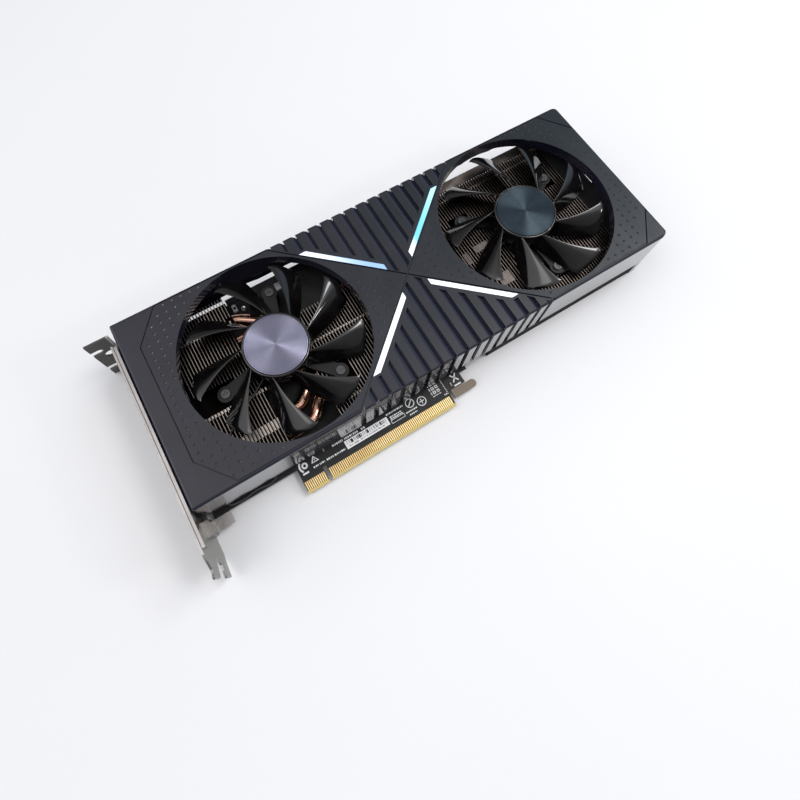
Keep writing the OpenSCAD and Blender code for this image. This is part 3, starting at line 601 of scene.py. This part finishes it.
CAD_LOOKS = {
    "shroud": "shroud", "light_strips": "guide", "led_boards": "board_small",
    "shroud_screws": "black_screw",
    "left_rotor": "blade", "right_rotor": "blade", "left_cap": "cap_left", "right_cap": "cap_right",
    "left_shaft": "shaft", "right_shaft": "shaft",
    "left_magnet": "ferrite", "right_magnet": "ferrite",
    "left_fan_frame": "fan_plastic", "right_fan_frame": "fan_plastic",
    "left_stator": "winding", "right_stator": "winding",
    "left_motor_board": "green_board", "right_motor_board": "green_board",
    "left_sleeve": "bronze", "right_sleeve": "bronze",
    "left_fan_lead": "lead", "right_fan_lead": "lead", "fan_screws": "dark_screw",
    "front_fins": "fins", "middle_fins": "fins", "tail_fins": "fins_dark", "heat_pipes": "pipe",
    "cold_plate": "plate_copper", "base_plate": "casting", "side_rail": "rail",
    "thermal_pads": "pad", "pcb": "board", "edge_contacts": "gold", "barcode_label": "label",
    "gpu_package": "substrate", "gpu_die": "silicon", "memory_chips": "epoxy", "chokes": "choke",
    "capacitors": "can", "mosfets": "epoxy", "power_connector": "socket_plastic",
    "fan_headers": "nylon", "hdmi_socket": "socket_steel", "display_socket_a": "socket_steel",
    "display_socket_b": "socket_steel", "display_socket_c": "socket_steel",
    "bracket": "bracket", "bracket_screws": "zinc_screw",
    "retention_bracket": "spring", "spring_screws": "zinc_screw", "tail_frame": "tail",
}
for name, look in CAD_LOOKS.items():
    mesh = NODES[name].data
    if not mesh.materials:
        mesh.materials.append(MATS[look].mat)
    for i in range(len(mesh.materials)):
        mesh.materials[i] = MATS[look].mat


# ---------------------------------------------------------------- fans

BLADES = 9
HUB_R = 16.5
TIP_R = 43.8
BLADE_TOP = 37.2
BLADE_DROP = 9.0                            # height from leading to trailing edge
CAMBER = 1.5                                # power of the fall along the chord
SWEEP = 33.0                                # degrees the leading edge turns, hub to tip
ROOT_CHORD, CHORD_GROWTH = 15.0, 6.0        # degrees
ROOT_THICKNESS, THINNING = 1.5, 0.5
SPAN_STEPS, CHORD_STEPS = 22, 20


def blade_rings(centre, first_angle):
    """Closed sections of one blade, from the hub out to the tip."""
    rings = []
    for i in range(SPAN_STEPS + 1):
        s = i / SPAN_STEPS
        r = HUB_R - 0.4 + s * (TIP_R - HUB_R + 0.4)
        lead = first_angle - SWEEP + SWEEP * s ** 0.62
        chord = ROOT_CHORD + CHORD_GROWTH * s
        tip = max(0.0, (s - 0.9) / 0.1)
        upper, lower = [], []
        for j in range(CHORD_STEPS + 1):
            u = 0.5 - 0.5 * math.cos(math.pi * j / CHORD_STEPS)
            rr = r - (2.2 * u * u + 1.6 * (1 - u) ** 6) * tip * tip
            a = math.radians(lead - chord * u)
            z = BLADE_TOP - 0.8 * s - u ** CAMBER * (BLADE_DROP - 1.4 * s)
            round_off = math.sqrt(max(0.0, math.sin(math.pi * (0.04 + 0.92 * u))))
            half = 0.5 * (ROOT_THICKNESS - THINNING * s) * (0.12 + 0.88 * round_off)
            half *= 1 - 0.55 * tip ** 4
            x, y = centre[0] + rr * math.cos(a), centre[1] + rr * math.sin(a)
            upper.append((x, y, z + half - 0.35))
            lower.append((x, y, z - half - 0.35))
        rings.append(upper + lower[::-1])
    return rings


def rotor(side):
    centre = FANS[side]
    s = Shape()
    for k in range(BLADES):
        s.loft(blade_rings(centre, TIP_ANGLE[side] + 360 / BLADES * k))
    s.lathe(centre, [(0.01, 37.1), (15.3, 37.1), (15.35, 37.55), (15.45, 37.66), (15.65, 37.7),
                     (16.0, 37.64), (16.32, 37.42), (16.5, 37.05), (16.5, 28.8), (16.3, 28.45),
                     (15.7, 28.4), (15.5, 28.6), (15.5, 36.0), (15.2, 36.2), (0.01, 36.2)], 128)
    piece = s.build(side + "_impeller", side + "_fan", "smoky_blade", MATS["blade"].mat, 40)
    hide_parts(side + "_rotor")


def cap(side, slot):
    centre = FANS[side]
    s = Shape()
    s.lathe(centre, [(0.01, 37.86), (14.0, 37.86), (14.1, 37.80), (14.35, 37.80),
                     (14.45, 37.90), (14.95, 37.91), (15.15, 37.82), (15.2, 37.7),
                     (15.2, 37.21), (0.01, 37.21)], 160)
    piece = s.build(side + "_cap_disc", side + "_fan", slot, MATS["cap_" + side].mat, 25)
    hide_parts(side + "_cap")


for side, slot in (("left", "lilac_cap"), ("right", "slate_cap")):
    rotor(side)
    cap(side, slot)


# ---------------------------------------------------------------- studs on the shroud's top

RING_R = 48.0                               # studs keep out of this circle round each fan
NECK = 45.0                                 # nearer the middle only the slanted edges count
PANEL_HALF_Y = 47.2
PANEL_END = 128.4
CORNER_X = 114.5                            # where the cut corners start
CORNER_CUT = (0.78, 0.62)                   # direction that a cut corner faces
COLUMNS, FIRST_COLUMN, COLUMN_PITCH = 27, 9.5, 4.62
ROWS_EACH_WAY, ROW_SHIFT, ROW_PITCH = 11, 0.7, 4.1


def panel_margin(x, y):
    """How far inside its panel a point is; negative outside."""
    dx, dy = abs(x - CENTRE[0]), abs(y - CENTRE[1])
    gaps = [min(math.hypot(x - fx, y - fy) for fx, fy in FANS.values()) - RING_R,
            PANEL_SLOPE * dx - dy - 3.4]
    if dx >= NECK:
        gaps.append(PANEL_HALF_Y - dy - 1.2)
        along = (dx - CORNER_X) * CORNER_CUT[0] + (dy - PANEL_HALF_Y) * CORNER_CUT[1]
        lower_right = x > CENTRE[0] and y < CENTRE[1]
        gaps.append(-along - (2.3 if lower_right else 0.7))
        gaps.append(PANEL_END - dx - 2.5)
    return min(gaps)


def studs():
    s = Shape()
    columns = [FIRST_COLUMN + COLUMN_PITCH * k for k in range(COLUMNS)]
    for sign in (-1, 1):
        for i, c in enumerate(columns):
            for row in range(-ROWS_EACH_WAY, ROWS_EACH_WAY + 1):
                x, y = CENTRE[0] + sign * c, CENTRE[1] + ROW_SHIFT + ROW_PITCH * row
                if panel_margin(x, y) < 0:
                    continue
                strong = (i + row) % 2 == 0
                half, high = (0.95, 0.36) if strong else (0.85, 0.30)
                low = [(x + half, y), (x, y + half), (x - half, y), (x, y - half)]
                tip = [(x + 0.16 * (px - x), y + 0.16 * (py - y)) for px, py in low]
                s.loft([[(px, py, TOP - 0.08) for px, py in low], [(px, py, TOP) for px, py in low],
                        [(px, py, TOP + high) for px, py in tip]])
    s.build("shroud_studs", "card", "shroud_plastic", MATS["stud"].mat, 0)


studs()


# ---------------------------------------------------------------- fin tabs

FIN_PITCH = 1.62


def tab_rows(name, node, look, rows):
    """Folded tabs that lock each fin to the next: rows of (y, length along the fin)."""
    low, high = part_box(node)
    x0, x1 = (low.x - ORIGIN.x) / MM, (high.x - ORIGIN.x) / MM
    s = Shape()
    for y, length in rows:
        x = x0 + 0.3
        while x < x1 - 1.2:
            jog = random.uniform(-0.08, 0.08)
            s.bar(x, x + FIN_PITCH * 0.52, y - length / 2 + jog, y + length / 2 + jog,
                  FIN_TOP - 0.45, FIN_TOP - 0.02, 0.1)
            x += FIN_PITCH
    s.build(name, "card", "fin_aluminium", MATS[look].mat, 0)


tab_rows("front_fin_tabs", "front_fins", "tabs", ((-15.5, 1.2), (-55.4, 1.6), (-73.2, 5.0)))
tab_rows("middle_fin_tabs", "middle_fins", "tabs", ((-46.0, 1.2), (-79.5, 1.6)))
tab_rows("tail_fin_tabs", "tail_fins", "fins_dark", ((-10.0, 1.3), (-78.0, 1.6)))


def inner_parts():
    """Clamp, screw, ribbed block and contact dots on the raised plate; plates on the tail fins."""
    clamp = Shape()
    clamp.bar(57.0, 59.4, -8.4, -6.9, 16.3, 17.1, 0.15)
    clamp.bar(57.0, 59.4, -5.4, -3.9, 16.3, 17.1, 0.15)
    clamp.bar(57.0, 57.6, -6.9, -5.4, 16.3, 17.1, 0.1)
    clamp.bar(58.8, 59.4, -6.9, -5.4, 16.3, 17.1, 0.1)
    for k in range(5):
        clamp.bar(82.0 + 0.9 * k, 82.5 + 0.9 * k, -8.6, -4.4, 17.42, 18.5, 0.12)
    clamp.bar(81.8, 86.4, -8.8, -4.2, 17.42, 17.8, 0.1)
    for k in range(8):
        for y in (-4.2, -7.0):
            clamp.ring((96.2 + k, y), 0.02, 0.32, 17.42, 17.85, 10)
    clamp.build("plate_fittings", "card", "zinc_screw", MATS["zinc_screw"].mat, 30)
    screw = Shape()
    screw.lathe((62.3, -8.6), [(0.35, 17.2), (0.35, 17.7), (1.0, 17.9), (1.25, 17.7), (1.3, 16.4),
                               (0.35, 16.4)], 24)
    screw.build("plate_screw", "card", "zinc_screw", MATS["zinc_screw"].mat, 30)
    plates = Shape()
    low, high = FIN_TOP + 0.02, FIN_TOP + 0.2
    plates.bar(182.4, 191.5, -45.9, -41.8, low, high, 0.08)
    plates.bar(184.4, 191.5, -69.1, -62.1, low, high, 0.08)
    for k in range(4):
        plates.bar(175.3 + 0.8 * k, 175.9 + 0.8 * k, -49.9, -42.9, low, high, 0.06)
    plates.build("tail_fin_plates", "card", "fin_aluminium", MATS["rail"].mat, 0)


inner_parts()


# ---------------------------------------------------------------- board markings and small parts

INK_Z0, INK_Z1 = PCB_TOP - 0.01, PCB_TOP + 0.03


def board_marks():
    """Generic printed marks on the tongue: rings, dashes and a square code that spell nothing."""
    s = Shape()

    def dash(x, y, w, h):
        s.bar(x, x + w, y - h / 2, y + h / 2, INK_Z0, INK_Z1)

    def row(x0, x1, y, h, low=0.35, high=1.0):
        x = x0
        while x < x1 - 0.2:
            w = min(random.uniform(low, high), x1 - x)
            dash(x, y, w, h)
            x += w + random.uniform(0.2, 0.42)

    def stroke(a, b, width):
        d = Vector((b[0] - a[0], b[1] - a[1])).normalized() * width / 2
        s.prism([(a[0] + d.y, a[1] - d.x), (b[0] + d.y, b[1] - d.x),
                 (b[0] - d.y, b[1] + d.x), (a[0] - d.y, a[1] + d.x)], INK_Z0, INK_Z1)

    s.ring((112.6, -93.0), 1.95, 2.4, INK_Z0, INK_Z1, 40)
    stroke((111.3, -94.2), (113.9, -91.8), 0.5)
    s.ring((118.5, -95.2), 2.05, 2.5, INK_Z0, INK_Z1, 40)
    stroke((117.2, -95.2), (119.8, -95.2), 0.5)
    stroke((118.5, -96.5), (118.5, -93.9), 0.5)
    tri = [(57.3, -90.9), (55.2, -94.2), (59.4, -94.2)]
    inner = [(57.3, -91.8), (56.0, -93.8), (58.6, -93.8)]
    for k in range(3):
        a, b, c, d = tri[k], tri[(k + 1) % 3], inner[(k + 1) % 3], inner[k]
        s.prism([a, b, c, d], INK_Z0, INK_Z1)
    dash(57.1, -92.9, 0.4, 1.1)
    s.ring((51.8, -93.3), 0.7, 1.6, INK_Z0, INK_Z1, 28)
    s.ring((52.6, -93.4), 3.0, 3.9, INK_Z0, INK_Z1, 14, 138.0, 84.0)
    dash(49.2, -96.8, 3.2, 0.9)
    for x0, x1 in ((68.0, 74.0), (74.8, 79.4), (79.9, 83.0), (84.5, 87.0)):
        row(x0, x1, -91.8, 1.0)
    for x0, x1 in ((55.3, 58.0), (58.6, 61.5), (62.5, 66.5), (67.0, 69.5), (70.0, 73.0)):
        row(x0, x1, -96.3, 0.85)
    row(98.9, 109.0, -92.2, 0.8)
    row(100.0, 107.0, -94.2, 0.7, 0.5, 1.4)
    row(100.0, 107.0, -95.2, 0.7, 0.5, 1.4)
    for a, b in (((99.6, -95.9), (107.4, -95.9)), ((99.6, -97.5), (107.4, -97.5)),
                 ((99.7, -97.5), (99.7, -95.9)), ((107.3, -97.5), (107.3, -95.9))):
        stroke(a, b, 0.25)
    row(108.4, 115.0, -96.6, 0.7)
    row(109.6, 114.0, -98.3, 0.7)
    for i in range(9):
        for j in range(9):
            if (i * 5 + j * 3 + i * j) % 4 != 1:
                dash(124.7 + i * 0.57, -95.3 + j * 0.57, 0.5, 0.5)
    row(124.8, 129.7, -96.5, 0.5)
    for k in range(9):
        dash(132.3, -90.6 - k, 0.45, 0.5)
    stroke((138.2, -95.4), (141.4, -91.2), 0.7)
    stroke((138.2, -91.2), (141.4, -95.4), 0.7)
    dash(137.6, -97.2, 3.8, 0.8)
    s.build("board_marks", "card", "label_paper", MATS["ink"].mat, 0)


board_marks()


def edge_parts():
    """Small ceramic capacitors along the tongue, with tinned ends."""
    body, ends = Shape(), Shape()
    core, end_in, end_out, end_half = 0.4, 0.416, 0.8, 0.43
    low = PCB_TOP - 0.02
    for x, y, upright in ((63.3, -91.3, True), (131.0, -98.6, False), (136.2, -95.6, True)):
        body.bar(x - core, x + core, y - core, y + core, low, PCB_TOP + 0.62, 0.06)
        for sign in (-1, 1):
            along, across = sorted((sign * end_in, sign * end_out)), (-end_half, end_half)
            dx, dy = (across, along) if upright else (along, across)
            ends.bar(x + dx[0], x + dx[1], y + dy[0], y + dy[1], low, PCB_TOP + 0.66, 0.08)
    body.build("edge_capacitors", "card", "choke_ferrite", MATS["mlcc"].mat, 0)
    ends.build("edge_capacitor_ends", "card", "capacitor_can", MATS["solder"].mat, 0)


edge_parts()


# ---------------------------------------------------------------- stage, light, camera

FLOOR_GAP = 0.0001


def stage():
    mesh = bpy.data.meshes.new("table_top")
    half, cells = 3.0, 8
    ticks = [-half + 2 * half * i / cells for i in range(cells + 1)]
    verts = [(x, y, 0.0) for y in ticks for x in ticks]
    row = cells + 1
    faces = [(j * row + i, j * row + i + 1, (j + 1) * row + i + 1, (j + 1) * row + i)
             for j in range(cells) for i in range(cells)]
    mesh.from_pydata(verts, [], faces)
    floor = bpy.data.objects.new("table_top", mesh)
    bpy.context.scene.collection.objects.link(floor)
    floor.location.z = CAD_BOX[0].z - FLOOR_GAP
    mesh.materials.append(table_material().mat)


stage()


def area(name, place, target, size, power, colour):
    data = bpy.data.lights.new(name, "AREA")
    data.shape = "RECTANGLE"
    data.size, data.size_y = size
    data.energy = power
    data.color = colour
    light = bpy.data.objects.new(name, data)
    bpy.context.scene.collection.objects.link(light)
    light.location = place
    light.rotation_euler = (Vector(target) - Vector(place)).to_track_quat("-Z", "Y").to_euler()


area("ceiling_panel", (0.666, -0.134, 1.448), (0, 0, 0), (0.42, 0.42), 6.0, (1.0, 0.99, 0.98))
area("side_window", (1.03, 0.09, 1.20), (0, 0, 0), (0.20, 0.30), 2.0, (0.96, 0.96, 1.0))
area("glint", (1.38, -0.83, 1.05), P(20, -20, 38), (0.24, 0.24), 3.6, (1.0, 1.0, 1.0))


def room():
    """A dim room made of round soft patches of light, added up."""
    world = bpy.data.worlds.new("soft_room")
    world.use_nodes = True
    bpy.context.scene.world = world
    tree = world.node_tree
    tc = tree.nodes.new("ShaderNodeTexCoord")
    unit = tree.nodes.new("ShaderNodeVectorMath")
    unit.operation = "NORMALIZE"
    tree.links.new(tc.outputs["Generated"], unit.inputs[0])

    def ramp(socket, low, high):
        n = tree.nodes.new("ShaderNodeMapRange")
        n.interpolation_type = "SMOOTHSTEP"
        tree.links.new(socket, n.inputs["Value"])
        n.inputs["From Min"].default_value = low
        n.inputs["From Max"].default_value = high
        return n.outputs["Result"]

    def patch(azimuth, height, inner, outer, colour):
        """A round soft patch of sky: full inside one angle, gone outside the other."""
        az, el = math.radians(azimuth), math.radians(height)
        dot = tree.nodes.new("ShaderNodeVectorMath")
        dot.operation = "DOT_PRODUCT"
        tree.links.new(unit.outputs["Vector"], dot.inputs[0])
        flat = math.cos(el)
        dot.inputs[1].default_value = (flat * math.cos(az), flat * math.sin(az), math.sin(el))
        fade = ramp(dot.outputs["Value"],
                    math.cos(math.radians(outer)), math.cos(math.radians(inner)))
        scale = tree.nodes.new("ShaderNodeVectorMath")
        scale.operation = "SCALE"
        scale.inputs[0].default_value = colour
        tree.links.new(fade, scale.inputs["Scale"])
        return scale.outputs["Vector"]

    total = patch(0, 90, 30, 84, (0.26, 0.26, 0.27))                # soft ceiling
    for part in (patch(0, 90, 178, 179, (0.16, 0.16, 0.165)),       # walls, the same all round
                 patch(0, 90, 12, 36, (0.60, 0.60, 0.62)),          # brighter straight above
                 patch(-10, 57, 10, 24, (1.1, 1.1, 1.12)),          # panel beyond the tail
                 patch(157, 40, 16, 46, (0.95, 0.95, 0.96)),        # wide window, bracket side
                 patch(165, 60, 6, 16, (2.0, 2.0, 2.0)),            # bright spot above it
                 patch(12, 22, 10, 34, (0.22, 0.34, 0.46))):        # low bluish glow
        add = tree.nodes.new("ShaderNodeVectorMath")
        add.operation = "ADD"
        tree.links.new(total, add.inputs[0])
        tree.links.new(part, add.inputs[1])
        total = add.outputs["Vector"]
    back = tree.nodes["Background"]
    tree.links.new(total, back.inputs["Color"])
    back.inputs["Strength"].default_value = 1.0


room()

# The photograph's view, fitted to the card's known sizes.
camera_data = bpy.data.cameras.new("photo_camera")
camera_data.sensor_width = 36.0
camera_data.lens = 26.652
camera_data.shift_x = 0.02932
camera_data.shift_y = -0.12256
camera_data.clip_start = 0.01
camera = bpy.data.objects.new("photo_camera", camera_data)
bpy.context.scene.collection.objects.link(camera)
camera.location = P(55.327, -145.787, 302.504)
camera.rotation_euler = [math.radians(a) for a in (23.758, -1.013, -30.804)]
bpy.context.scene.camera = camera
bpy.context.scene.view_settings.view_transform = "Standard"
